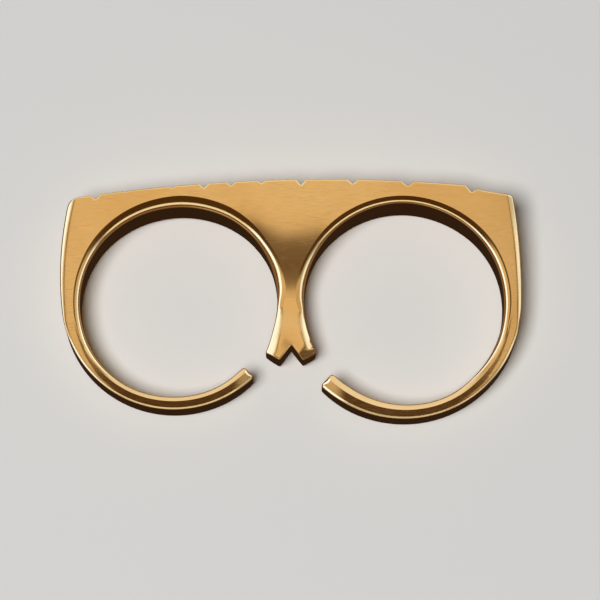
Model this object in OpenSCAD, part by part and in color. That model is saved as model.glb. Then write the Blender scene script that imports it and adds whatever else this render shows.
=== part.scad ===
// Two finger ring, cast in one piece and lying on its side.
// A thick arched bar joins two finger holes. Its shanks taper away from the bar, and each ends
// just short of the post that stands between the fingers.
// Drawing frame: X along the bar, Y towards the bar, Z along the fingers, with Z = 0 half way through.
// The drawing frame is tipped by the taper at the end, so that the back lies flat on the ground.

/* [Finger holes] */
// Diameter of the left finger hole
left_hole_d = 18.14; // [17.84:0.1:18.34]
// Diameter of the right finger hole
right_hole_d = 18.58; // [18.38:0.1:18.78]
// Distance between the centres of the two holes along the bar
hole_pitch = 21.1; // [21:0.1:21.4]
// How much lower the right hole sits than the left one
hole_drop = 0.25; // [0:0.05:0.4]
// Width of the rounded flare round each hole's mouth
flare_w = 0.85; // [0.6:0.05:0.9]
// Depth of that flare along the finger
flare_depth = 0.75; // [0.5:0.05:0.8]

/* [Bar] */
// Overall height from the middle of the holes to the crown of the bar
crown_h = 11.7; // [11.5:0.1:12.2]
// Radius of the bar's long arch
crown_r = 160; // [120:5:220]
// How far the crown sits to the right of the middle
crown_shift = 3.2; // [1:0.2:5]
// How far the block at the right end is filed down
end_block_drop = 0.35; // [0.2:0.05:0.5]
// Radius of the left end's upper corner
left_corner_r = 1.2; // [0.6:0.1:1.4]

/* [Shanks] */
// Outer radius of the left shank
left_shank_r = 10.62; // [10.52:0.05:10.72]
// Outer radius of the right shank
right_shank_r = 11.1; // [11:0.05:11.2]
// Rounding of the shanks' outer edges at their lowest points
shank_round_w = 0.35; // [0.2:0.05:0.4]
// Where the left shank ends, in degrees round the left hole
left_end_at = -45.5; // [-50:0.5:-42]
// Where the right shank ends, in degrees round the right hole
right_end_at = 224.5; // [221:0.5:229]
// Depth of the notch that splits the foot of the post
fork_depth = 1.45; // [1:0.05:1.6]

/* [Width along the finger] */
// Width at the middle of the holes
mid_w = 4.98; // [4.6:0.02:5.6]
// Slope of each face, in degrees, that narrows the shanks
taper = 3.2; // [2:0.1:4]
// Depth of the thumb-smooth hollow on each face of the post
dip_depth = 0.5; // [0.3:0.05:0.6]
// Length of that hollow
dip_l = 10.6; // [9:0.2:11]

/* [Hidden] */
$fn = 180;

// Holes and shanks, as [x, y] in the drawing frame
MIDDLE_X = -0.06;
LEFT_HOLE = [MIDDLE_X - hole_pitch / 2, hole_drop / 2 + 0.07];
RIGHT_HOLE = [MIDDLE_X + hole_pitch / 2, 0.07 - hole_drop / 2];
left_r = left_hole_d / 2;
right_r = right_hole_d / 2;
LEFT_SHANK = LEFT_HOLE + [-0.45, 0.33];
RIGHT_SHANK = RIGHT_HOLE + [0, 0.2];

// Outer sides: long arcs that run on smoothly from the shanks
LEFT_SIDE_R = 32;
LEFT_SIDE_DEG = 6.2;
RIGHT_SIDE_R = 52;
RIGHT_SIDE_DEG = -1.5;
LEFT_SIDE = LEFT_SHANK + (LEFT_SIDE_R - left_shank_r) * [cos(LEFT_SIDE_DEG), sin(LEFT_SIDE_DEG)];
RIGHT_SIDE = RIGHT_SHANK - (RIGHT_SIDE_R - right_shank_r) * [cos(RIGHT_SIDE_DEG), sin(RIGHT_SIDE_DEG)];
LEFT_JOIN_Y = LEFT_SHANK[1] - left_shank_r * sin(LEFT_SIDE_DEG);
RIGHT_JOIN_Y = RIGHT_SHANK[1] + right_shank_r * sin(RIGHT_SIDE_DEG);
CROWN = [crown_shift, crown_h - crown_r];

// File-cut grooves across the crown: where along the bar, how deep, how wide
GROOVES = [
    [-18.5, 0.42, 0.95],
    [-15.7, 0.12, 0.60],
    [-11.3, 0.15, 0.65],
    [-8.3, 0.38, 0.90],
    [-5.75, 0.34, 0.85],
    [-2.9, 0.25, 0.70],
    [0.85, 0.52, 0.95],
    [5.7, 0.38, 1.05],
    [10.9, 0.45, 1.20]
];
// Where the filed-down end block starts, and how much it falls along its length
END_BLOCK_X = 16.9;
END_BLOCK_FALL = 0.17;
END_NOTCH_W = 0.55;
END_NOTCH_DEPTH = 0.25;

// Forked foot of the post: its prongs' tips
FORK_X = MIDDLE_X;
FORK_FOOT_Y = -5.4;
FORK_HALF_W = 1.1;

// Above this height the shanks are part of the bar
SHANK_TOP_Y = 4;
// Between each shank's end and the post
LEFT_END_X = -3.2;
RIGHT_END_X = 2.54;
// How far out of each hole the cut between the shank ends runs, past both shanks
GAP_REACH = 13;

// Half the width along the finger at height y
function half_w(y) = mid_w / 2 + y * tan(taper);

// Height of the crown's arch at x
function crown_y(x) = CROWN[1] + sqrt(crown_r * crown_r - pow(x - CROWN[0], 2));

// Point at radius r and angle a round a centre
function round_pt(c, r, a) = c + r * [cos(a), sin(a)];

// Upper crossing of two circles, the first with centre a and the second with centre b
function crossing(a, ra, b, rb) =
    let (d = norm(b - a), u = (b - a) / d, along = (ra * ra - rb * rb + d * d) / (2 * d))
    a + along * u + sqrt(ra * ra - along * along) * (u[0] > 0 ? [-u[1], u[0]] : [u[1], -u[0]]);

// Room for cutting shapes that run out past the part
FAR = 30;
TALL = 12;
overlap = 0.5;

// Extremes of the part in the drawing frame, for setting its origin
LEFT_X = LEFT_SIDE[0] - LEFT_SIDE_R;
RIGHT_X = RIGHT_SIDE[0] + RIGHT_SIDE_R;
LOW_Y = min(LEFT_SHANK[1] - left_shank_r, RIGHT_SHANK[1] - right_shank_r);
TOP_Y = crown_h * cos(taper) + half_w(crown_h) * sin(taper);
BOTTOM_Y = LOW_Y * cos(taper) - (half_w(LOW_Y) - shank_round_w) * sin(taper);

// Outline of the bar above the shanks, before holes and grooves are cut
module bar_outline() {
    intersection() {
        translate(CROWN) circle(r = crown_r, $fn = 720);
        translate(LEFT_SIDE) circle(r = LEFT_SIDE_R, $fn = 360);
        translate(RIGHT_SIDE) circle(r = RIGHT_SIDE_R, $fn = 360);
        polygon([[-FAR, LEFT_JOIN_Y], [0, LEFT_JOIN_Y], [0, RIGHT_JOIN_Y], [FAR, RIGHT_JOIN_Y],
                 [FAR, FAR], [-FAR, FAR]]);
    }
}

// Waste outside a rounded upper corner, between a side arc and the crown
module corner_waste(side, side_r, top, top_r, r) {
    tip = crossing(side, side_r, top, top_r);
    middle = crossing(side, side_r - r, top, top_r - r);
    on_side = middle + r * (middle - side) / norm(middle - side);
    on_top = middle + r * (middle - top) / norm(middle - top);
    ease = 0.02;
    difference() {
        polygon([middle, on_side, on_side + 2 * (tip - middle), on_top + 2 * (tip - middle), on_top]);
        translate(middle) circle(r = r + ease, $fn = 48);
    }
}

// Waste above the filed-down block at the right end, with the notch where it starts
module end_block_waste() {
    top = crown_y(END_BLOCK_X);
    step_y = top - end_block_drop;
    notch_y = step_y - END_NOTCH_DEPTH;
    polygon([
        [END_BLOCK_X - 2 * END_NOTCH_W, 2 * top - notch_y],
        [END_BLOCK_X, notch_y],
        [END_BLOCK_X + END_NOTCH_W, step_y],
        [FAR, step_y - END_BLOCK_FALL * (FAR - END_BLOCK_X)],
        [FAR, FAR]
    ]);
}

// One V groove cut across the crown
module groove(at, depth, width) {
    top = crown_y(at);
    polygon([
        [at, top - depth],
        [at + width, top + depth],
        [at - width, top + depth]
    ]);
}

// Waste between the two shank ends: everything from their cut faces up to the post
module gap_waste() {
    polygon([
        LEFT_HOLE,
        round_pt(LEFT_HOLE, GAP_REACH, left_end_at),
        round_pt(RIGHT_HOLE, GAP_REACH, right_end_at),
        RIGHT_HOLE
    ]);
}

// Post between the fingers with its forked foot, before the holes are cut
module post_outline() {
    polygon([
        LEFT_HOLE,
        [FORK_X - FORK_HALF_W, FORK_FOOT_Y],
        [FORK_X, FORK_FOOT_Y + fork_depth],
        [FORK_X + FORK_HALF_W, FORK_FOOT_Y],
        RIGHT_HOLE
    ]);
}

// Whole outline seen along the fingers, still without the finger holes
module outline() {
    difference() {
        union() {
            bar_outline();
            post_outline();
            difference() {
                union() {
                    translate(LEFT_SHANK) circle(r = left_shank_r);
                    translate(RIGHT_SHANK) circle(r = right_shank_r);
                }
                gap_waste();
                translate([-FAR, SHANK_TOP_Y]) square([2 * FAR, FAR]);
            }
        }
        corner_waste(LEFT_SIDE, LEFT_SIDE_R, CROWN, crown_r, left_corner_r);
        end_block_waste();
        for (g = GROOVES) groove(g[0], g[1], g[2]);
    }
}

// Side profile that tapers the ring along the finger, swept along the bar
module taper_block() {
    low = -FAR / 2;
    high = FAR / 2;
    rotate([90, 0, 90])
        linear_extrude(height = 2 * FAR, center = true)
            polygon([
                [low, half_w(low)], [high, half_w(high)],
                [high, -half_w(high)], [low, -half_w(low)]
            ]);
}

// Finger hole through the full width
module hole(at, r) {
    translate([at[0], at[1], -TALL / 2]) cylinder(r = r, h = TALL);
}

// Rounded flare of one hole's mouth, with the face at Z = 0: its arc runs on past wall and face
module flare(at, r) {
    bulge = 1.6;
    run_on = 0.3;
    wall = [r, -flare_depth];
    face = [r + flare_w, 0];
    chord = norm(face - wall);
    inward = [flare_depth, -flare_w] / chord;
    middle = (wall + face) / 2 + inward * sqrt(bulge * bulge - chord * chord / 4);
    translate(at)
        rotate_extrude()
            difference() {
                translate([r - overlap, middle[1]])
                    square([overlap + flare_w + run_on, overlap - middle[1]]);
                translate(middle) circle(r = bulge, $fn = 96);
            }
}

// Rounding of one shank's outer edge between two heights along the bar, with the face at Z = 0.
// It is widest at the shank's lowest point and fades out where the side begins.
module shank_round(at, r, from_x, to_x) {
    bulge = 0.8;
    run_on = 0.3;
    wall = [r + shank_round_w, -shank_round_w];
    face = [r, 0];
    chord = norm(face - wall);
    middle = (wall + face) / 2 - [1, 1] / sqrt(2) * sqrt(bulge * bulge - chord * chord / 4);
    intersection() {
        translate(at + [0, shank_round_w])
            rotate_extrude()
                difference() {
                    translate([r - run_on, middle[1]])
                        square([shank_round_w + 2 * run_on, overlap - middle[1]]);
                    translate(middle) circle(r = bulge, $fn = 96);
                }
        translate([from_x, at[1] - FAR - 1, -TALL / 2]) cube([to_x - from_x, FAR, TALL]);
    }
}

// Thumb-smooth hollow on one face of the post, with the face at Z = 0
module dip() {
    half_l = dip_l / 2;
    r = (half_l * half_l + dip_depth * dip_depth) / (2 * dip_depth);
    dip_y = 1.3;
    dip_half_w = 5;
    translate([MIDDLE_X, dip_y, r - dip_depth])
        rotate([0, 90, 0])
            cylinder(r = r, h = 2 * dip_half_w, center = true, $fn = 360);
}

// Cuts made from one face: side is 1 for the front and -1 for the back
module face_cuts(side) {
    mirror([0, 0, side > 0 ? 0 : 1])
        translate([0, 0, mid_w / 2])
            rotate([taper, 0, 0]) {
                flare(LEFT_HOLE, left_r);
                flare(RIGHT_HOLE, right_r);
                shank_round(LEFT_SHANK, left_shank_r, -FAR, LEFT_END_X);
                shank_round(RIGHT_SHANK, right_shank_r, RIGHT_END_X, FAR);
                dip();
            }
}

// The ring in one piece
module ring_body() {
    color([0.83, 0.62, 0.34])
        translate([-(LEFT_X + RIGHT_X) / 2, -(TOP_Y + BOTTOM_Y) / 2, mid_w / 2 * cos(taper)])
            rotate([taper, 0, 0])
                difference() {
                    intersection() {
                        linear_extrude(height = TALL, center = true) outline();
                        taper_block();
                    }
                    hole(LEFT_HOLE, left_r);
                    hole(RIGHT_HOLE, right_r);
                    face_cuts(1);
                    face_cuts(-1);
                }
}

ring_body();
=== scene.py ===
import math

import bpy
import numpy as np
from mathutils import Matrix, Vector
from mathutils.geometry import delaunay_2d_cdt


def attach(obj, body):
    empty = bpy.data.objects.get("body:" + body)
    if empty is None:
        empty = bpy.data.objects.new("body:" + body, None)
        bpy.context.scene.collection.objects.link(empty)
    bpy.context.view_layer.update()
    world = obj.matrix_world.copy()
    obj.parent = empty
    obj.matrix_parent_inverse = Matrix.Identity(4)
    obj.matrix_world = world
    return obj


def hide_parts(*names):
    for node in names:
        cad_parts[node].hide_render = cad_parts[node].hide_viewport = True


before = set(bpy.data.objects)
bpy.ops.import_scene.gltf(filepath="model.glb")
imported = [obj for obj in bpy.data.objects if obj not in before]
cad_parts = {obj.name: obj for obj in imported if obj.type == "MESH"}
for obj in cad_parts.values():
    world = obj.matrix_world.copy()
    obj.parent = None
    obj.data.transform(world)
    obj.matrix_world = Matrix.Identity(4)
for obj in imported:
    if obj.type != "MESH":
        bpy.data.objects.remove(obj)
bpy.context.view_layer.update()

MM = 0.001

# The part's own sizes in mm, in the drawing frame: X along the bar, Y towards the bar, Z along the fingers

TAPER = math.radians(3.2)  # slope of each face; the ring is tipped by as much, so that its back lies flat
MID_W = 4.98  # width along the finger at the middle of the holes
MIDDLE_X, MIDDLE_Y = -0.06, 0.07
PITCH, HOLE_DROP = 21.1, 0.25
L_HOLE = np.array([MIDDLE_X - PITCH / 2, HOLE_DROP / 2 + MIDDLE_Y])
R_HOLE = np.array([MIDDLE_X + PITCH / 2, MIDDLE_Y - HOLE_DROP / 2])

# Outer arcs of the shanks, then those of the sides, which run on smoothly from them at the direction given
L_SHANK, L_SHANK_R = L_HOLE + [-0.45, 0.33], 10.62
R_SHANK, R_SHANK_R = R_HOLE + [0.0, 0.2], 11.1
L_SIDE_R, L_SIDE_DEG = 32.0, 6.2
R_SIDE_R, R_SIDE_DEG = 52.0, -1.5
SHANK_ROUND = 0.35

# The bar's arch, and where the shanks end, in degrees round their holes
CROWN_R = 160.0
CROWN = np.array([3.2, 11.7 - CROWN_R])
L_END, R_END = -45.5, 224.5

FORK_X, FORK_FOOT_Y, FORK_HALF_W, FORK_DEPTH = MIDDLE_X, -5.4, 1.1, 1.45
GROOVES = [
    # along the bar, depth, width
    (-18.5, 0.42, 0.95), (-15.7, 0.12, 0.60), (-11.3, 0.15, 0.65), (-8.3, 0.38, 0.90), (-5.75, 0.34, 0.85),
    (-2.9, 0.25, 0.70), (0.85, 0.52, 0.95), (5.7, 0.38, 1.05), (10.9, 0.45, 1.20),
]
BLOCK_X, BLOCK_DROP, BLOCK_FALL, NOTCH_W, NOTCH_DEPTH = 16.9, 0.35, 0.17, 0.55, 0.25

# Radii of the outline's corners
L_CORNER_R, R_CORNER_R, FREE_END_R = 1.15, 0.30, 0.26
LIP_R, FOOT_R, NOTCH_LIP_R, BLOCK_LIP_R = 0.14, 0.04, 0.12, 0.10
L_HEEL_R, R_HEEL_R, PRONG_TIP_R, APEX_R = 0.22, 0.40, 0.16, 0.05


def unit(deg):
    a = math.radians(deg)
    return np.array([math.cos(a), math.sin(a)])


L_SIDE = L_SHANK + (L_SIDE_R - L_SHANK_R) * unit(L_SIDE_DEG)
R_SIDE = R_SHANK - (R_SIDE_R - R_SHANK_R) * unit(R_SIDE_DEG)


def half_w(y):
    """Half the width along the finger."""
    return MID_W / 2 + y * math.tan(TAPER)


def crown_y(x):
    return CROWN[1] + np.sqrt(CROWN_R ** 2 - (x - CROWN[0]) ** 2)


# From the drawing frame to the row frame, as part.scad works it out

left_x, right_x = L_SIDE[0] - L_SIDE_R, R_SIDE[0] + R_SIDE_R
low_y = min(L_SHANK[1] - L_SHANK_R, R_SHANK[1] - R_SHANK_R)
crown_top = CROWN[1] + CROWN_R
top_y = crown_top * math.cos(TAPER) + half_w(crown_top) * math.sin(TAPER)
bottom_y = low_y * math.cos(TAPER) - (half_w(low_y) - SHANK_ROUND) * math.sin(TAPER)
SHIFT = np.array([-(left_x + right_x) / 2, -(top_y + bottom_y) / 2, MID_W / 2 * math.cos(TAPER)])


def tip(v):
    """Tips rows of vectors about X by the taper."""
    c, s = math.cos(TAPER), math.sin(TAPER)
    return np.stack([v[:, 0], v[:, 1] * c - v[:, 2] * s, v[:, 1] * s + v[:, 2] * c], 1)


def to_row(p):
    """Places in the drawing frame in mm to the row frame in m."""
    return (tip(p) + SHIFT) * MM


# Lines and arcs of the outline

STEP = 0.11  # distance from point to point
BORE_SMOOTHINGS = 12


def smooth(v):
    v = np.clip(v, 0, 1)
    return v * v * (3 - 2 * v)


def polar(c, r, deg):
    """Points at distances r from c in directions deg."""
    return c + r[:, None] * np.stack([np.cos(np.radians(deg)), np.sin(np.radians(deg))], 1)


def angle_at(c, p):
    return math.degrees(math.atan2(p[1] - c[1], p[0] - c[0]))


def line(a, b):
    n = max(2, int(np.linalg.norm(np.subtract(b, a)) / STEP) + 1)
    t = np.linspace(0, 1, n + 1)[:, None]
    return np.array(a) * (1 - t) + np.array(b) * t


def arc(c, r, a0, a1):
    """r is a radius, or a function of the angle in degrees."""
    radius = (lambda deg: r) if np.isscalar(r) else r
    n = max(3, int(abs(math.radians(a1 - a0)) * radius(a0) / STEP) + 1)
    deg = np.linspace(a0, a1, n + 1)
    return polar(c, np.array([radius(v) for v in deg]), deg)


def crown(x0, x1):
    n = max(3, int(abs(x1 - x0) / STEP))
    x = np.linspace(x0, x1, n + 1)
    return np.stack([x, crown_y(x)], 1)


def ray_circle(o, deg, c, r):
    """Where the ray from o at deg leaves the circle."""
    d = unit(deg)
    m = o - c
    b = m @ d
    return o + d * (-b + math.sqrt(b * b - m @ m + r * r))


def round_table(rows):
    """A smooth closed curve through (degrees, value) rows, as a function of the angle."""
    rows = np.array(rows, float)
    grid = np.arange(360)
    v = np.interp(grid, rows[:, 0], rows[:, 1], period=360)
    for _ in range(BORE_SMOOTHINGS):
        v = (np.roll(v, 1) + np.roll(v, 2) + v + np.roll(v, -1) + np.roll(v, -2)) / 5
    return lambda deg: float(np.interp(deg % 360, grid, v, period=360))


# Radius of each hole by direction. The real holes are slightly oval, and the left free end leans inwards
left_bore = round_table([
    (0, 9.22), (25, 9.28), (45, 9.25), (60, 9.15), (75, 9.02), (100, 8.91), (120, 8.97), (145, 9.13),
    (165, 9.24), (180, 9.30), (210, 9.38), (230, 9.42), (245, 9.34), (258, 9.18), (270, 9.07), (290, 8.96),
    (303, 8.84), (314, 8.68), (320, 8.68), (326, 9.62), (332, 9.40), (340, 9.18),
])
right_bore = round_table([
    (0, 9.41), (25, 9.47), (45, 9.50), (60, 9.48), (75, 9.50), (90, 9.56), (120, 9.54), (150, 9.51),
    (180, 9.36), (205, 9.34), (225, 9.42), (240, 9.43), (255, 9.50), (270, 9.58), (290, 9.66), (300, 9.64),
    (315, 9.50), (330, 9.45), (345, 9.42),
])

# The outline's branches, anticlockwise from the bar's right corner

CORNER_ROUNDS = 30  # rounds of the search for the bar's two corners

branches = []  # points, kind of edge, radius of the corner at the branch's end


def add(points, kind, corner):
    branches.append((np.array(points, float), kind, corner))


step_y = crown_y(BLOCK_X) - BLOCK_DROP
notch = np.array([BLOCK_X, step_y - NOTCH_DEPTH])
block_from = np.array([BLOCK_X + NOTCH_W, step_y])


def block_y(x):
    return step_y - BLOCK_FALL * (x - block_from[0])


def side_corner(x, top, c, r, side):
    """Where a side's arc meets the top edge: from a first guess x, in turns on the edge and on the arc."""
    for _ in range(CORNER_ROUNDS):
        y = top(x)
        x = c[0] + side * math.sqrt(r ** 2 - (y - c[1]) ** 2)
    return np.array([x, y])


def top_edge():
    """The block, the notch beside it, and the crown with its grooves."""
    crown_from = np.array([BLOCK_X - NOTCH_W, crown_y(BLOCK_X - NOTCH_W)])
    add(line(right_corner, block_from), "top", BLOCK_LIP_R)
    add(line(block_from, notch), "top", FOOT_R)
    add(line(notch, crown_from), "top", NOTCH_LIP_R)
    at = crown_from[0]
    for x, depth, w in sorted(GROOVES, reverse=True):
        right, left = [np.array([v, crown_y(v)]) for v in (x + w / 2, x - w / 2)]
        foot = np.array([x, crown_y(x) - depth])
        add(crown(at, right[0]), "top", LIP_R)
        add(line(right, foot), "top", FOOT_R)
        add(line(foot, left), "top", LIP_R)
        at = left[0]
    add(crown(at, left_corner[0]), "top", L_CORNER_R)


def left_outside():
    """The left side and shank, down to the free end."""
    end_out = ray_circle(L_HOLE, L_END, L_SHANK, L_SHANK_R)
    turn_at = 180 + L_SIDE_DEG
    add(arc(L_SIDE, L_SIDE_R, angle_at(L_SIDE, left_corner) % 360, turn_at), "left_side", 0)
    add(arc(L_SHANK, L_SHANK_R, turn_at, angle_at(L_SHANK, end_out) + 360), "left_shank", FREE_END_R)
    add(line(end_out, L_HOLE + left_bore(L_END) * unit(L_END)), "end", FREE_END_R)


def inside():
    """The left hole the long way round, the post's forked foot, and the right hole the same way."""
    l_tip = np.array([FORK_X - FORK_HALF_W, FORK_FOOT_Y])
    r_tip = np.array([FORK_X + FORK_HALF_W, FORK_FOOT_Y])
    apex = np.array([FORK_X, FORK_FOOT_Y + FORK_DEPTH])
    l_foot = angle_at(L_HOLE, l_tip) - 360
    r_foot = angle_at(R_HOLE, r_tip) + 360
    add(arc(L_HOLE, left_bore, L_END, l_foot), "left_hole", L_HEEL_R)
    add(line(L_HOLE + left_bore(l_foot) * unit(l_foot), l_tip), "prong", PRONG_TIP_R)
    add(line(l_tip, apex), "fork", APEX_R)
    add(line(apex, r_tip), "fork", PRONG_TIP_R)
    add(line(r_tip, R_HOLE + right_bore(r_foot) * unit(r_foot)), "prong", R_HEEL_R)
    add(arc(R_HOLE, right_bore, r_foot, R_END - 360), "right_hole", FREE_END_R)


def right_outside():
    """The right free end, shank and side."""
    end_out = ray_circle(R_HOLE, R_END, R_SHANK, R_SHANK_R)
    add(line(R_HOLE + right_bore(R_END) * unit(R_END), end_out), "end", FREE_END_R)
    add(arc(R_SHANK, R_SHANK_R, angle_at(R_SHANK, end_out) % 360, 360 + R_SIDE_DEG), "right_shank", 0)
    add(arc(R_SIDE, R_SIDE_R, R_SIDE_DEG, angle_at(R_SIDE, right_corner)), "right_side", R_CORNER_R)


right_corner = side_corner(20.0, block_y, R_SIDE, R_SIDE_R, 1)
left_corner = side_corner(-20.0, crown_y, L_SIDE, L_SIDE_R, -1)
top_edge()
left_outside()
inside()
right_outside()

# The branches joined into one closed path

SEARCH = 60  # how many steps from its end a branch is searched for the next one
NEARLY, PARALLEL = 1e-6, 1e-12
FILLET_DEG = 9
CLOSEST = 0.004  # points nearer than this to the one before are dropped


def left_of(p):
    """The normals on the left of a path, which is the metal's side."""
    t = np.gradient(p, axis=0)
    t /= np.linalg.norm(t, axis=1)[:, None]
    return np.stack([-t[:, 1], t[:, 0]], 1)


def cross(a, b):
    return a[..., 0] * b[..., 1] - a[..., 1] * b[..., 0]


def crossing(a, b):
    """Where polyline a, searched from its end, meets polyline b, searched from its start."""
    na, nb = min(len(a) - 1, SEARCH), min(len(b) - 1, SEARCH)
    ia = np.arange(len(a) - 1 - na, len(a) - 1)
    ib = np.arange(nb)
    p, r = a[ia][:, None], (a[ia + 1] - a[ia])[:, None]
    q, s = b[ib][None], (b[ib + 1] - b[ib])[None]
    den = cross(r, s)
    den = np.where(abs(den) < PARALLEL, PARALLEL, den)
    t, u = cross(q - p, s) / den, cross(q - p, r) / den
    ok = (t >= -NEARLY) & (t <= 1 + NEARLY) & (u >= -NEARLY) & (u <= 1 + NEARLY)
    k, m = np.argwhere(ok)[-1]
    return ia[k], float(t[k, m]), ib[m], float(u[k, m])


def fillet(a, na, b, nb, r):
    """The arc between two branches: where it leaves a and reaches b, its points, inward normals and turn."""
    if not r:
        return len(a) - 1, 0, [], [], 0
    s = 1.0 if cross(a[-1] - a[-2], b[1] - b[0]) > 0 else -1.0
    i, fi, j, fj = crossing(a + s * r * na, b + s * r * nb)
    p = a[i] * (1 - fi) + a[i + 1] * fi
    q = b[j] * (1 - fj) + b[j + 1] * fj
    c = p + s * r * (na[i] * (1 - fi) + na[i + 1] * fi)
    a0, a1 = math.atan2(*(p - c)[::-1]), math.atan2(*(q - c)[::-1])
    while s > 0 and a1 < a0:
        a1 += 2 * math.pi
    while s < 0 and a1 > a0:
        a1 -= 2 * math.pi
    n = max(6, int(abs(a1 - a0) / math.radians(FILLET_DEG)))
    ang = np.linspace(a0, a1, n + 1)
    d = np.stack([np.cos(ang), np.sin(ang)], 1)
    return i, j, c + r * d, -s * d, s


def trace():
    """The closed path: points, inward normals, kinds of edge, and the corners that stick out.

    A kind is (kind, next kind, share of the next), and a corner is (first point, last point, radius).
    """
    parts = [(p, left_of(p), kind, r) for p, kind, r in branches]
    following = parts[1:] + parts[:1]
    joints = [fillet(a[0], a[1], b[0], b[1], a[3]) for a, b in zip(parts, following)]
    pts, nrm, kinds, corners = [], [], [], []
    for k, (p, normals, kind, r) in enumerate(parts):
        start, end = joints[k - 1][1] + 1, joints[k][0] + 1
        pts += list(p[start:end])
        nrm += list(normals[start:end])
        kinds += [(kind, kind, 0.0)] * len(p[start:end])
        _, _, arc_pts, arc_nrm, s = joints[k]
        if s > 0:
            corners.append((len(pts), len(pts) + len(arc_pts) - 1, r))
        pts += list(arc_pts)
        nrm += list(arc_nrm)
        kinds += [(kind, following[k][2], float(f)) for f in np.linspace(0, 1, len(arc_pts))]
    pts, nrm = np.array(pts), np.array(nrm)
    keep = np.linalg.norm(np.roll(pts, 1, axis=0) - pts, axis=1) > CLOSEST
    index = np.cumsum(keep) - 1
    corners = [(index[a], index[b], r) for a, b, r in corners]
    return pts[keep], nrm[keep], [k for k, ok in zip(kinds, keep) if ok], corners


pts, nrm, kinds, corners = trace()
N = len(pts)

# How the edges are rounded along the outline: width, tilt in degrees where the rounding leaves the face, and
# sharpness of its turn towards the wall

HOLE_EDGE = {
    # direction round the hole in degrees, then the three values
    "left_hole": [
        (3, 0.76, 15, 1.55), (8, 0.88, 15, 1.25), (18, 0.86, 13, 1.0), (36, 0.74, 10, 1.3),
        (60, 0.90, 12, 1.6), (90, 0.96, 14, 1.8), (125, 0.86, 14, 1.7), (145, 0.78, 11, 1.5),
        (158, 0.70, 7, 1.3), (180, 0.66, 5, 1.15), (194, 0.64, 5, 1.1), (205, 0.58, 12, 1.0),
        (214, 0.50, 10, 1.0), (230, 0.24, 6, 1.0), (242, 0.15, 4, 1.0), (318, 0.14, 2, 1.0),
        (327, 0.20, 3, 4.0), (340, 0.24, 3, 5.0), (350, 0.26, 3, 5.0), (353, 0.31, 5, 4.2),
        (356, 0.38, 8, 3.3), (359, 0.54, 12, 2.1),
    ],
    "right_hole": [
        (0, 0.74, 6, 1.15), (30, 0.76, 8, 1.25), (45, 0.70, 12, 1.6), (60, 0.66, 14, 1.9),
        (90, 0.62, 14, 1.9), (130, 0.66, 14, 1.8), (150, 0.66, 13, 1.5), (168, 0.82, 15, 1.3),
        (176, 0.80, 15, 1.45), (180, 0.66, 14, 1.8), (183, 0.46, 11, 2.6), (186, 0.34, 7, 3.5),
        (190, 0.24, 3, 5.0), (200, 0.20, 3, 4.0), (203, 0.16, 12, 2.0), (205, 0.12, 55, 1.0),
        (209, 0.10, 60, 1.0), (220, 0.12, 2, 1.0), (312, 0.15, 4, 1.0), (325, 0.36, 8, 1.0),
        (338, 0.58, 12, 1.0), (348, 0.68, 6, 1.1),
    ],
}
EDGE = {
    "top": (0.15, 12, 2.0), "end": (0.42, 22, 1.8), "side": (0.15, 3, 1.5),
    "high shank": (0.16, 4, 1.6), "low shank": (0.06, 0, 1.0),
    "left prong": (0.14, 5, 1.0), "right prong": (0.06, 55, 1.0),
}
SHANK_HIGH_Y, SHANK_FADE = -1.0, 4.5
WIDEST = 9.0
EDGE_SMOOTHINGS = 6
CORNER_SHARE, CORNER_GAIN = 0.85, 0.55  # how wide the rounding may be in a corner, and away from it


def mixed(a, b, f):
    return np.array(a) * (1 - f) + np.array(b) * f


def edge_of(kind, p):
    """Width, tilt at the face in degrees and sharpness of the rounding at p."""
    if kind in HOLE_EDGE:
        deg = angle_at(L_HOLE if kind == "left_hole" else R_HOLE, p) % 360
        rows = np.array(HOLE_EDGE[kind])
        return [np.interp(deg, rows[:, 0], rows[:, k], period=360) for k in (1, 2, 3)]
    if kind in ("left_shank", "right_shank"):
        return mixed(EDGE["high shank"], EDGE["low shank"], float(smooth((SHANK_HIGH_Y - p[1]) / SHANK_FADE)))
    if kind in ("left_side", "right_side"):
        return EDGE["side"]
    if kind in ("prong", "fork"):
        return EDGE["right prong" if p[0] > MIDDLE_X else "left prong"]
    return EDGE[kind]


def widest_at():
    """The widest rounding that fits at each point. It is narrow in the corners that stick out."""
    gap = np.linalg.norm(np.roll(pts, -1, axis=0) - pts, axis=1)
    along = np.concatenate([[0], np.cumsum(gap)])
    total, along = along[-1], along[:-1]
    at = np.arange(N)
    widest = np.full(N, WIDEST)
    for a, b, r in corners:
        within = (at >= a) & (at <= b) if b >= a else (at >= a) | (at <= b)
        from_a, from_b = [abs((along - along[k] + total / 2) % total - total / 2) for k in (a, b)]
        away = np.where(within, 0, np.minimum(from_a, from_b))
        widest = np.minimum(widest, CORNER_SHARE * r + CORNER_GAIN * away)
    return widest


widest = widest_at()
edges = np.array([mixed(edge_of(a, p), edge_of(b, p), f) for p, (a, b, f) in zip(pts, kinds)])
edges[:, 0] = np.minimum(edges[:, 0], widest)
for _ in range(EDGE_SMOOTHINGS):
    edges = (np.roll(edges, 1, axis=0) + edges * 2 + np.roll(edges, -1, axis=0)) / 4
width, tilt, turn = np.minimum(edges[:, 0], widest), np.radians(edges[:, 1]), edges[:, 2]

# The face's height. Each part of its relief has a function that says how far it lowers the face


def soft_ramp(u, blur):
    """0 well below u = 0 and u well above it, with a bend between. blur is the square of the bend's width."""
    return (np.sqrt(u * u + blur) + u) / 2


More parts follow.
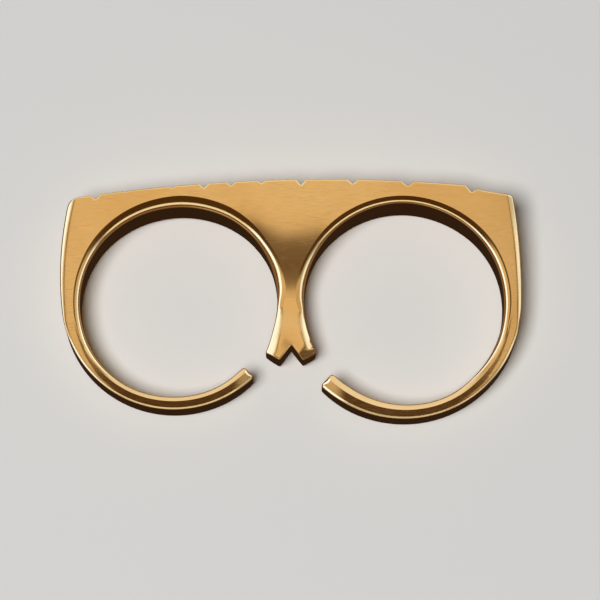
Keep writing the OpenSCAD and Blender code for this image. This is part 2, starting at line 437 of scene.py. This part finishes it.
DIP = np.array([
    # height on the post, tilt of its face in degrees
    (-5.2, 0.0), (-4.4, 0.0), (-3.6, -3.0), (-2.4, -7.5), (-1.3, -7.5), (-0.4, -4.0), (0.55, 0.0),
    (1.15, 3.4), (2.0, 6.6), (3.5, 9.3), (4.8, 9.0), (5.7, 7.2), (6.4, 4.7), (7.1, 2.5), (7.9, 1.0),
    (8.6, 0.0),
])
DIP_POINTS, DIP_SMOOTHINGS = 400, 40
DIP_BOW, DIP_BOW_TO = (0.11, 0.05), 4.5  # how the hollow bows upwards on the left and right of the post
DIP_FLAT, DIP_FADE = (3.0, 2.5), 2.8  # half its width on the left and right, and the fade beyond


def dip_profile():
    """The hollow's depth by height, summed from the tilt."""
    y = np.linspace(DIP[0, 0], DIP[-1, 0], DIP_POINTS)
    tilt_y = np.tan(np.radians(np.interp(y, DIP[:, 0], DIP[:, 1])))
    for _ in range(DIP_SMOOTHINGS):
        tilt_y[1:-1] = (tilt_y[:-2] + 2 * tilt_y[1:-1] + tilt_y[2:]) / 4
    depth = np.concatenate([[0], np.cumsum((tilt_y[1:] + tilt_y[:-1]) / 2 * np.diff(y))])
    return y, depth[-1] - depth


dip_y, dip_depth = dip_profile()


def dip(x, y):
    """The U-shaped hollow in the post's face."""
    u = x - MIDDLE_X
    at = y - np.where(u < 0, *DIP_BOW) * np.minimum(abs(u), DIP_BOW_TO) ** 2
    depth = np.interp(at, dip_y, dip_depth, right=0.0)
    return depth * (1 - smooth((abs(u) - np.where(u < 0, *DIP_FLAT)) / DIP_FADE))


BEVELS = [
    # centre and radius of the side's arc, and its side; the width that the bevel gains up to the crown, its
    # tilt there and lower down, its softness; how far below zero it is narrowest, and has faded out
    (L_SIDE, L_SIDE_R, -1, 0.38, 34.5, 34.5, 0.10, 8, 3.5),
    (R_SIDE, R_SIDE_R, 1, 0.42, 27.3, 33.2, 0.04, 16, 5.5),
]
BEVEL_X, BEVEL_TOP, BEVEL_LEAST_W, BEVEL_FADE = 8, 10, 0.08, 3
TILT_FROM, TILT_OVER = 9.5, 5


def bevel(x, y):
    """The worn bevels at the two ends of the bar."""
    drop = 0.0
    for c, r, side, w, high, low, soft, long, fade in BEVELS:
        d = r - np.hypot(x - c[0], y - c[1])
        fall = soft_ramp(w * smooth((y + long) / (long + BEVEL_TOP)) + BEVEL_LEAST_W - d, soft * soft)
        steep = np.tan(np.radians(high + (low - high) * smooth((TILT_FROM - y) / TILT_OVER)))
        drop = drop + np.where(x * side > BEVEL_X, steep * fall * smooth((y + fade) / BEVEL_FADE), 0)
    return drop


def reach(hole, c, r, x, y):
    """Angle round the hole in degrees, distance from its middle, and distance to the shank's outside."""
    ux, uy = x - hole[0], y - hole[1]
    dist = np.hypot(ux, uy)
    mx, my = hole - c
    b = (mx * ux + my * uy) / dist
    return np.degrees(np.arctan2(uy, ux)) % 360, dist, -b + np.sqrt(b * b - mx * mx - my * my + r * r)


def bore_at(bore, deg):
    """The bore's radius in an array of directions, from every second degree."""
    every = np.arange(0, 361, 2)
    return np.interp(deg % 360, every, [bore(v) for v in every])


def area(v):
    """Integral of smooth from 0 to v."""
    c = np.clip(v, 0, 1)
    return c ** 3 - c ** 4 / 2 + np.maximum(v - 1, 0)


BANDS = [
    # hole, bore, centre and radius of the shank's outside, the inner slope's share of the width, then degrees
    # where the ridge starts, is full, and the shank ends
    (L_HOLE, left_bore, L_SHANK, L_SHANK_R, 0.38, 187, 242, 320),
    (R_HOLE, right_bore, R_SHANK, R_SHANK_R, 0.41, 358, 291, 219),
]
THINNEST = 0.3
INNER_SLOPE, INNER_CURVE, INNER_PAST = 0.25, 0.145, 1.1
OUTER_SLOPE, OUTER_SOFT, OUTER_PAST = 0.26, 0.3, 1.15
OUTER_FIRST, OUTER_GAIN, OUTER_POWER = 0.16, 0.94, 1.7  # the outer slope's width at first, and how it widens
OUTER_BROAD = 0.8  # from this width on, the outer slope runs under the chamfer
CHAMFER_AT, CHAMFER_SOFT, CHAMFER_SLOPE = 0.745, 0.06, 0.71
OUTER_IN, CHAMFER_IN = 5, 3  # how quickly the two come in


def ridge(x, y):
    """The two slopes that fall from each shank's ridge. The outer one widens from a line beside it."""
    drop = 0.0
    for hole, bore, c, r, share, start, full, end in BANDS:
        deg, dist, outside = reach(hole, c, r, x, y)
        inner_r = bore_at(bore, deg)
        thick = np.maximum(outside - inner_r, THINNEST)
        inner_w, outer_w = share * thick, (1 - share) * thick
        v = dist - inner_r - inner_w
        f = np.clip((deg - start) / (full - start), 0, 1)
        q = np.minimum(-v / inner_w, INNER_PAST)
        inner = inner_w * (INNER_SLOPE * q + INNER_CURVE * q ** 3) * smooth(f)
        q = np.minimum(v / outer_w, OUTER_PAST)
        edge = OUTER_FIRST + OUTER_GAIN * f ** OUTER_POWER
        near = smooth(OUTER_IN * f)
        outer = OUTER_SLOPE * near * OUTER_SOFT * (area(edge / OUTER_SOFT) - area((edge - q) / OUTER_SOFT))
        rim = CHAMFER_SLOPE - OUTER_SLOPE * near * smooth((edge - OUTER_BROAD) / OUTER_SOFT)
        chamfer = smooth(CHAMFER_IN * f) * rim * CHAMFER_SOFT * area((q - CHAMFER_AT) / CHAMFER_SOFT)
        outer = outer_w * (outer + chamfer)
        drop = drop + np.where((deg - start) * (deg - end) < 0, np.where(v < 0, inner, outer), 0)
    return drop


FLANKS = [
    # hole, bore, then degrees where the facet beside the hole starts, is full and ends; its width at first
    # and in full
    (L_HOLE, left_bore, 3, -27, -38, 0.34, 0.86),
    (R_HOLE, right_bore, 179, 203, 206.5, 0.30, 0.62),
]
FLANK_SLOPE, FLANK_BLUR = 0.68, 0.010
FLANK_IN, FLANK_OUT = 2.7, 2  # how quickly it comes in and goes out


def flank(x, y):
    """The polished facets on the prongs, beside the holes."""
    drop = 0.0
    for hole, bore, start, full, end, narrow, wide in FLANKS:
        ux, uy = x - hole[0], y - hole[1]
        low = min(start, end)
        deg = (np.degrees(np.arctan2(uy, ux)) - low) % 360 + low
        f = np.clip((deg - start) / (full - start), 0, 1)
        u = narrow + (wide - narrow) * f - np.hypot(ux, uy) + bore_at(bore, deg)
        steep = FLANK_SLOPE * (smooth(FLANK_IN * f) * smooth(FLANK_OUT * (deg - end) / (full - end)))
        drop = drop + np.where((deg - start) * (deg - end) < 0, steep * soft_ramp(u, FLANK_BLUR), 0)
    return drop


# The worn corner falls away beyond a line near WORN_AT, in the direction WORN_TOWARDS. It stays left of
# WORN_X and above WORN_Y, and comes in from X = 0 to the right and from WORN_FROM_Y downwards
WORN_AT, WORN_TOWARDS, WORN_BACK = (1.10, -4.30), (0.75, -0.66), 0.08
WORN_SLOPE, WORN_BLUR, WORN_X, WORN_Y = 0.45, 0.05, 3.2, -6.2
WORN_IN, WORN_FROM_Y, WORN_OVER_Y = 2.5, -2.5, 0.9
FALL_R, FALL_SLOPE, FALL_BLUR, FALL_FADE = 1.0, 0.084, 0.15, 2


def worn(x, y):
    """The rubbed corner of the right prong, and the face's fall towards the notch."""
    u = (x - WORN_AT[0]) * WORN_TOWARDS[0] + (y - WORN_AT[1]) * WORN_TOWARDS[1] - WORN_BACK
    corner = np.where((x < WORN_X) & (y > WORN_Y), WORN_SLOPE * soft_ramp(u, WORN_BLUR), 0)
    corner = corner * smooth(WORN_IN * x) * smooth((WORN_FROM_Y - y) / WORN_OVER_Y)
    u = FALL_R - np.hypot(x - FORK_X, y - FORK_FOOT_Y - FORK_DEPTH)
    return corner + FALL_SLOPE * soft_ramp(u, FALL_BLUR) * smooth(u / FALL_FADE + 1)


WAVE, RIPPLE = 0.0035, 0.002


def waves(x, y):
    """The slight unevenness of a face that was finished by hand."""
    wave = WAVE * np.sin(x * 0.93 + 0.4) * np.cos(y * 0.71 + x * 0.21)
    return wave + RIPPLE * np.sin(x * 0.37 - y * 1.3 + 1.0)


END_FALL, END_FROM = 0.0006, 8  # from this X on, the face falls away towards the bar's right end
PROBE = 0.01


def face_h(x, y):
    """Height of the face over the middle plane."""
    d = dip(x, y) + END_FALL * np.maximum(x - END_FROM, 0) ** 2
    return half_w(y) - d - bevel(x, y) - ridge(x, y) - flank(x, y) - worn(x, y) + waves(x, y)


def slope(x, y):
    """The face's slope along X and along Y."""
    h = PROBE
    return np.stack([face_h(x + h, y) - face_h(x - h, y), face_h(x, y + h) - face_h(x, y - h)], 1) / (2 * h)


# The edge and the wall: layers of points from the front face round to the back face

RINGS = 11  # rows of faces across the rounding
SUB = 8  # steps of the sum in a row
WALL_ROWS = (0.5, 0.0, -0.5)
MIRROR = np.array([1, 1, -1.0])
SATIN, POLISHED = 0, 1  # material slots


def profile():
    """Plan distance from the crest, drop and tilt of the rounding, row by row from the face to the wall."""
    out = [(np.zeros(N), np.zeros(N), tilt)]
    x, z = np.zeros(N), np.zeros(N)
    for k in range(RINGS):
        a, b = (k / RINGS) ** (1 / turn), ((k + 1) / RINGS) ** (1 / turn)
        for m in range(SUB):
            mid = a + (b - a) * (m + 0.5) / SUB
            t = tilt + (math.pi / 2 - tilt) * mid ** turn
            x, z = x + np.cos(t) * (b - a) / SUB, z + np.sin(t) * (b - a) / SUB
        out.append((x, z, tilt + (math.pi / 2 - tilt) * (k + 1) / RINGS))
    scale = width / x
    return [(px * scale, pz * scale, t) for px, pz, t in out]


def ring(run, drop, t):
    """Places and normals of the front rounding at one step of its profile."""
    xy = pts + (width - run)[:, None] * nrm
    z = face_h(xy[:, 0], xy[:, 1]) - drop
    g = slope(xy[:, 0], xy[:, 1])
    n = np.concatenate([-np.sin(t)[:, None] * nrm - np.cos(t)[:, None] * g, np.cos(t)[:, None]], 1)
    n /= np.linalg.norm(n, axis=1)[:, None]
    return np.column_stack([xy, z]), n


def edge_layers():
    """Rows of places and normals: the front rounding, the wall and the back rounding."""
    front = [ring(*step) for step in profile()]
    wall_z, outward = front[-1][0][:, 2], np.column_stack([-nrm, np.zeros(N)])
    wall = [(np.column_stack([pts, wall_z * f]), outward) for f in WALL_ROWS]
    return front + wall + [(p * MIRROR, n * MIRROR) for p, n in reversed(front)]


layers = edge_layers()
places = [p for layer, _ in layers for p in layer]
normal = np.concatenate([n for _, n in layers])
faces, loop_normals, slots = [], [], []


def add_face(at, normals, slot):
    faces.append(tuple(at))
    loop_normals.extend(normals)
    slots.append(slot)


for k in range(len(layers) - 1):
    for i in range(N):
        j = (i + 1) % N
        quad = (k * N + i, (k + 1) * N + i, (k + 1) * N + j, k * N + j)
        add_face(quad, normal[list(quad)], POLISHED)

# The faces inside the edge: a grid and lines along the creases, triangulated once for both sides

GRID = 0.34
GRID_X, GRID_Y = (-21.6, 21.6), (-11.0, 11.6)
BEVEL_OFFSETS, BEVEL_BELOW, BEVEL_ABOVE = np.arange(0.2, 0.75, 0.09), 25, 40  # mm, then degrees along the arc
RIDGE_STEP = 0.7  # in degrees
CREASE_OFFSETS = (-0.008, 0.008, 0.05, 0.1, 0.15)  # shares of the shank's width, from the ridge outwards
INNER_SHARE, OUTER_SHARES = 0.2, (0.65, 0.83, 0.875)  # and from the hole outwards
FLANK_OFFSETS, FLANK_POINTS = (-0.1, 0.0, 0.1), 60
LINE_CLEAR, GRID_CLEAR = 0.04, 0.12
SAME = 1e-7  # points nearer than this are one to the triangulation


def points_within(q, loop):
    """Even-odd test of points q in the closed polygon loop."""
    x, y = q[:, 0], q[:, 1]
    inside_loop = np.zeros(len(q), bool)
    for (x0, y0), (x1, y1) in zip(loop, np.roll(loop, -1, axis=0)):
        if y0 != y1:
            inside_loop ^= ((y0 > y) != (y1 > y)) & (x < (x1 - x0) * (y - y0) / (y1 - y0) + x0)
    return inside_loop


def clear_of(q, others, gap):
    """Those of the points q that are farther than gap from all the others."""
    return q[np.array([np.min(np.hypot(*(others - c).T)) for c in q]) > gap]


def grid_points():
    """Rows of points, every second row moved by half a step."""
    x, y = np.meshgrid(np.arange(*GRID_X, GRID), np.arange(*GRID_Y, GRID))
    x = x + 0.5 * GRID * (np.round((y - GRID_Y[0]) / GRID) % 2)
    return np.stack([x.ravel(), y.ravel()], 1)


def bevel_lines():
    """Arcs along the worn bevels."""
    lines = []
    for c, r, side, *_ in BEVELS:
        mid = 0 if side > 0 else 180
        low, high = mid - BEVEL_BELOW * side, mid + BEVEL_ABOVE * side
        lines += [arc(c, r - off, low, high) for off in BEVEL_OFFSETS]
    return lines


def ridge_lines():
    """Lines along the shanks' ridges, slopes and chamfers."""
    lines = []
    for hole, bore, c, r, share, start, full, end in BANDS:
        deg = np.arange(min(start, end), max(start, end), RIDGE_STEP)
        _, _, outside = reach(hole, c, r, *polar(hole, np.ones(len(deg)), deg).T)
        inner_r = np.array([bore(v) for v in deg])
        shares = (INNER_SHARE, *[share + off for off in CREASE_OFFSETS], *OUTER_SHARES)
        lines += [polar(hole, inner_r + f * (outside - inner_r), deg) for f in shares]
    return lines


def flank_lines():
    """Lines along the edges of the prongs' facets."""
    lines = []
    for hole, bore, start, full, end, narrow, wide in FLANKS:
        deg = np.linspace(start, end, FLANK_POINTS)
        crease = [bore(v) + narrow + (wide - narrow) * min((v - start) / (full - start), 1) for v in deg]
        lines += [polar(hole, off + np.array(crease), deg) for off in FLANK_OFFSETS]
    return lines


def fill_points(inner):
    """The points inside the innermost row: the crease lines, and the grid where it is clear of them."""
    lines = np.concatenate(bevel_lines() + ridge_lines() + flank_lines())
    lines = clear_of(lines[points_within(lines, inner)], inner, LINE_CLEAR)
    grid = grid_points()
    grid = clear_of(grid[points_within(grid, inner)], np.concatenate([inner, lines]), GRID_CLEAR)
    return np.concatenate([lines, grid])


def fill_faces():
    """Adds the front face's triangles and, turned over, the back face's."""
    inner = layers[0][0][:, :2]
    flat = [Vector(p) for p in np.concatenate([inner, fill_points(inner)])]
    verts, _, triangles, came_from, _, _ = delaunay_2d_cdt(flat, [], [list(range(N))], 1, SAME)
    xy = np.array([[v.x, v.y] for v in verts])
    z, g = face_h(xy[:, 0], xy[:, 1]), slope(xy[:, 0], xy[:, 1])
    face_n = np.concatenate([-g, np.ones((len(xy), 1))], 1)
    face_n /= np.linalg.norm(face_n, axis=1)[:, None]
    front_of, back_of = [], []
    for k, olds in enumerate(came_from):
        on_edge = [o for o in olds if o < N]
        if on_edge:
            front_of.append(on_edge[0])
            back_of.append((len(layers) - 1) * N + on_edge[0])
        else:
            front_of.append(len(places))
            back_of.append(len(places) + 1)
            places.extend([(*xy[k], z[k]), (*xy[k], -z[k])])
    for tri in triangles:
        add_face([front_of[v] for v in tri], [face_n[v] for v in tri], SATIN)
        add_face([back_of[v] for v in reversed(tri)], [face_n[v] * MIRROR for v in reversed(tri)], SATIN)


fill_faces()

# Node trees of the materials and of the studio


class Tree:
    """Builds a node tree by short calls. A value is a number, a colour or the socket of another node."""

    def __init__(self, owner):
        owner.use_nodes = True
        self.nodes, self.links = owner.node_tree.nodes, owner.node_tree.links
        self.nodes.clear()

    def fill(self, n, values):
        """Sets or links the inputs of node n, which are named or numbered by the keys."""
        for name, value in values.items():
            if isinstance(value, bpy.types.NodeSocket):
                self.links.new(value, n.inputs[name])
            else:
                n.inputs[name].default_value = value

    def node(self, kind, values):
        n = self.nodes.new(kind)
        self.fill(n, values)
        return n

    def calc(self, operation, *values):
        n = self.node("ShaderNodeMath", dict(enumerate(values)))
        n.operation = operation
        return n.outputs[0]

    def mix(self, factor, a, b):
        n = self.nodes.new("ShaderNodeMix")
        n.data_type = "RGBA"
        self.fill(n, {"Factor": factor, "A": a, "B": b})
        return n.outputs["Result"]

    def noise(self, vector, scale, detail, rough):
        values = {"Vector": vector, "Scale": scale, "Detail": detail, "Roughness": rough}
        return self.node("ShaderNodeTexNoise", values).outputs["Fac"]

    def remap(self, value, low, high, to_low, to_high):
        values = {"Value": value, "From Min": low, "From Max": high, "To Min": to_low, "To Max": to_high}
        return self.node("ShaderNodeMapRange", values).outputs["Result"]

    def ramp(self, value, low, high):
        """0 below low, 1 above high and smooth between. low may be the larger."""
        n = self.node("ShaderNodeMapRange", {"Value": value, "From Min": low, "From Max": high})
        n.interpolation_type = "SMOOTHSTEP"
        return n.outputs["Result"]


# The materials

GOLD_DEEP, GOLD_PALE = (0.86, 0.535, 0.215, 1), (0.97, 0.635, 0.28, 1)
CLOUD_SCALE, FINE_SCALE, SCRATCH_SCALE = 130, 2600, 900
SCRATCH_STRETCH, SCRATCH_TURN = (1.0, 14.0, 3.0), (0, 0, math.radians(12))
BUMP_DEPTH = 0.00002
PALE = (0.70, 0.69, 0.67, 1)
FLOOR_HALF = 3.0  # in metres


def gold(name, rough, bump, scratch):
    """Warm gold plate: cloudy tint and gloss, fine scratches and a faint ripple."""
    material = bpy.data.materials.new(name)
    t = Tree(material)
    coord = t.nodes.new("ShaderNodeTexCoord").outputs["Object"]
    stretch = {"Vector": coord, "Scale": SCRATCH_STRETCH, "Rotation": SCRATCH_TURN}
    stretched = t.node("ShaderNodeMapping", stretch).outputs["Vector"]
    cloud = t.noise(coord, CLOUD_SCALE, detail=4, rough=0.55)
    fine = t.noise(coord, FINE_SCALE, detail=2, rough=0.5)
    lines = t.noise(stretched, SCRATCH_SCALE, detail=3, rough=0.6)
    clouded = t.remap(cloud, 0.3, 0.7, rough * 0.85, rough * 1.15)
    height = t.calc("MULTIPLY_ADD", lines, scratch, fine)
    bumped = t.node("ShaderNodeBump", {"Strength": bump, "Distance": BUMP_DEPTH, "Height": height})
    bsdf = t.node("ShaderNodeBsdfPrincipled", {
        "Base Color": t.mix(t.remap(cloud, 0.35, 0.65, 0, 1), GOLD_DEEP, GOLD_PALE),
        "Metallic": 1.0,
        "Roughness": t.calc("ADD", clouded, t.remap(lines, 0.45, 0.75, 0.0, rough * 0.5)),
        "Normal": bumped.outputs["Normal"],
    })
    t.node("ShaderNodeOutputMaterial", {"Surface": bsdf.outputs["BSDF"]})
    return material


def pale_floor():
    """The plain pale floor's matt surface."""
    material = bpy.data.materials.new("pale_floor")
    t = Tree(material)
    matt = {"Base Color": PALE, "Roughness": 0.75, "Specular IOR Level": 0.2}
    bsdf = t.node("ShaderNodeBsdfPrincipled", matt)
    t.node("ShaderNodeOutputMaterial", {"Surface": bsdf.outputs["BSDF"]})
    return material


# The objects


def add_object(name, data):
    thing = bpy.data.objects.new(name, data)
    bpy.context.scene.collection.objects.link(thing)
    return thing


def ring_mesh():
    """The ring with its two polishes and its own normals, in the row frame."""
    mesh = bpy.data.meshes.new("two_finger_ring")
    mesh.from_pydata([tuple(p) for p in to_row(np.array(places))], [], faces)
    mesh.materials.append(gold("gold_satin", rough=0.19, bump=0.012, scratch=0.12))
    mesh.materials.append(gold("gold_polished", rough=0.11, bump=0.025, scratch=0.3))
    mesh.polygons.foreach_set("material_index", slots)
    mesh.polygons.foreach_set("use_smooth", [True] * len(faces))
    mesh.update()
    mesh.normals_split_custom_set([tuple(n) for n in tip(np.array(loop_normals))])
    return mesh


def floor_mesh(s):
    """A square of 2 s across on the ground."""
    mesh = bpy.data.meshes.new("floor")
    mesh.from_pydata([(-s, -s, 0), (s, -s, 0), (s, s, 0), (-s, s, 0)], [], [(0, 1, 2, 3)])
    mesh.materials.append(pale_floor())
    return mesh


body = add_object("two_finger_ring", ring_mesh())
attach(body, "root")
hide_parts("ring_body")

floor = add_object("floor", floor_mesh(FLOOR_HALF))
floor.visible_glossy = False

# The studio: soft panels painted in the world, which only reflections see

world = bpy.data.worlds.new("studio")
bpy.context.scene.world = world
sky = Tree(world)

DEG = 180 / math.pi
TINY = 0.0001


def times(a, b):
    return sky.calc("MULTIPLY", a, b)


# The direction, and in degrees: over the horizon, to the right, and from straight up towards the front
toward = sky.nodes.new("ShaderNodeTexCoord").outputs["Generated"]
dx, dy, dz = sky.node("ShaderNodeSeparateXYZ", {0: toward}).outputs
elevation = times(sky.calc("ARCSINE", dz), DEG)
aside = times(sky.calc("ARCSINE", dx), DEG)
lean = times(sky.calc("ARCTAN2", times(dy, -1), dz), DEG)
level = sky.calc("MAXIMUM", sky.calc("SQRT", sky.calc("SUBTRACT", 1, times(dz, dz))), TINY)


def band(value, low, high, soft):
    """1 from low to high, fading over soft at both ends."""
    half = soft / 2
    return times(sky.ramp(value, low - half, low + half), sky.ramp(value, high + half, high - half))


def above(low, high):
    """0 up to the low elevation and 1 from the high one on."""
    return sky.ramp(elevation, low, high)


def facing(azimuth, half, soft):
    """1 within half degrees of the azimuth, fading over soft degrees."""
    a = math.radians(azimuth)
    dot = sky.calc("ADD", times(dx, math.cos(a)), times(dy, math.sin(a)))
    off = times(sky.calc("ARCCOSINE", sky.calc("MINIMUM", sky.calc("DIVIDE", dot, level), 1)), DEG)
    return sky.ramp(off, half + soft / 2, half - soft / 2)


def beside(left, right):
    """1 beyond the one ramp on the left and beyond the other on the right."""
    return sky.calc("MAXIMUM", sky.ramp(aside, *left), sky.ramp(aside, *right))


UNLIT = (0.030, 0.0165, 0.009, 1)
PANELS = [
    # radiance, then the masks that bound the panel; each lies over those before it
    ((0.13, 0.085, 0.05), band(elevation, -64, -5, 8)),
    ((0.24, 0.175, 0.115), band(elevation, -42, -9, 14)),
    ((0.36, 0.285, 0.20), band(elevation, -42, -9, 14), facing(46, 36, 40)),
    ((0.48, 0.42, 0.34), band(elevation, -38, -13, 14), facing(238, 22, 24)),
    ((0.48, 0.42, 0.34), band(elevation, -38, -13, 14), facing(75, 24, 24)),
    ((0.155, 0.115, 0.076), band(lean, -12, 22, 8), above(12, 20)),
    ((0.085, 0.050, 0.018), band(lean, -12, 26, 8), above(12, 20), beside((-11, -17), (13, 19))),
    ((0.073, 0.038, 0.010), band(lean, 20, 66, 6), above(6, 12)),
    ((1.00, 1.12, 1.25), band(elevation, 6, 30, 4), facing(270, 51, 16)),
    ((0.48, 0.60, 0.66), band(elevation, 28, 41, 5), facing(6, 40, 14)),
    ((0.72, 0.62, 0.44), band(elevation, 30, 62, 5), facing(176, 34, 14)),
    ((0.62, 0.53, 0.37), band(elevation, 41, 63, 5), facing(14, 40, 14)),
    ((0.83, 0.84, 0.92), band(elevation, 4, 48, 6), facing(90, 50, 14)),
    ((1.25, 1.75, 2.85), band(elevation, 5, 30, 5), facing(174, 52, 14)),
    ((1.08, 1.32, 1.80), band(elevation, 5, 29, 5), facing(14, 46, 16)),
    ((1.25, 1.75, 2.60), band(elevation, 5, 29, 5), facing(40, 18, 14)),
    ((0.90, 0.98, 1.08), band(lean, -44, -18, 6), above(34, 44)),
    ((0.87, 0.755, 0.555), band(lean, -20, 6, 10), band(aside, -12, 9, 14)),
]

studio = UNLIT
for radiance, mask, *others in PANELS:
    for other in others:
        mask = times(mask, other)
    studio = sky.mix(mask, studio, (*radiance, 1))

glow = sky.node("ShaderNodeBackground", {"Color": studio})
backdrop = sky.node("ShaderNodeBackground", {"Color": PALE})
seen = sky.nodes.new("ShaderNodeLightPath").outputs["Is Camera Ray"]
pick = sky.node("ShaderNodeMixShader", {0: seen, 1: glow.outputs[0], 2: backdrop.outputs[0]})
sky.node("ShaderNodeOutputWorld", {"Surface": pick.outputs[0]})
world.cycles_visibility.diffuse = False

# One soft light for the floor

LIGHT_ACROSS, LIGHT_POWER, LIGHT_AT = 0.5, 13.5, (-0.25, -0.3, 1.1)  # in metres and watts

lamp = bpy.data.lights.new("floor_light", "AREA")
lamp.shape = "DISK"
lamp.size = LIGHT_ACROSS
lamp.energy = LIGHT_POWER
floor_light = add_object("floor_light", lamp)
floor_light.location = LIGHT_AT
floor_light.rotation_euler = Vector(LIGHT_AT).to_track_quat("Z", "Y").to_euler()
floor_light.visible_camera = False
floor_light.visible_glossy = False

# The camera stands 75 degrees above the floor, 375 mm from the middle of the front face

ELEVATION, DISTANCE, MM_PER_PX, FRAME_PX = math.radians(75), 375.0, 0.0938, 600
AIM_PX = (292.0, 302.0)  # where the middle of the front face lies in the frame
SENSOR = 36

aim = np.array([0, -MID_W / 2 * math.sin(TAPER), MID_W / 2 * math.cos(TAPER)]) + SHIFT
forward = np.array([0, math.cos(ELEVATION), -math.sin(ELEVATION)])
up = np.array([0, math.sin(ELEVATION), math.cos(ELEVATION)])
right = np.array([1.0, 0, 0])
eye = aim - forward * DISTANCE
eye = eye + right * (FRAME_PX / 2 - AIM_PX[0]) * MM_PER_PX + up * (AIM_PX[1] - FRAME_PX / 2) * MM_PER_PX

camera_data = bpy.data.cameras.new("camera")
camera_data.sensor_width = SENSOR
camera_data.lens = SENSOR * (DISTANCE / MM_PER_PX) / FRAME_PX
camera_data.clip_start = 0.01
camera = add_object("camera", camera_data)
camera.location = eye * MM
camera.rotation_euler = (math.pi / 2 - ELEVATION, 0, 0)
bpy.context.scene.camera = camera
bpy.context.scene.view_settings.view_transform = "Standard"
